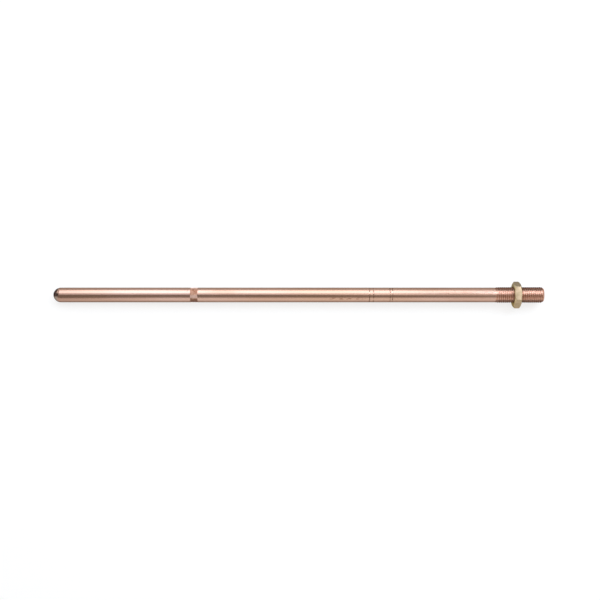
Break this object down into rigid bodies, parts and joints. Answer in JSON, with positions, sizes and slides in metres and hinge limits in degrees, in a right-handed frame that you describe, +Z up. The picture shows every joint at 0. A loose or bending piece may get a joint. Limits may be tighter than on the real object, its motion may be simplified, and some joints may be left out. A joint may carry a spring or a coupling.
{
  "type": "air termination rod",
  "caption": "Solid copper air termination rod for lightning protection, with a rounded tip, a rolled metric thread and a thin brass locknut.",
  "frame": {"origin": "centre of the threaded end face, on the axis of the rod", "axes": "+X out of the threaded end along the rod, the tip towards -X; +Z up with the part lying on a flat of its nut; +Y to the left when looking along +X"},
  "size_m": [0.5, 0.0278, 0.024],
  "materials": {
    "copper": "drawn copper, handled and lightly toned, rolled thread",
    "brass": "turned from drawn hexagon bar, pale and bright"
  },
  "bodies": {
    "rod": {"air_rod": "copper"},
    "nut": {"locknut": "brass"}
  },
  "joints": [
    {"name": "locknut_travel", "type": "slide", "parent": "rod", "child": "nut", "axis": [1, 0, 0], "range_m": [-0.014, 0.022]}
  ]
}
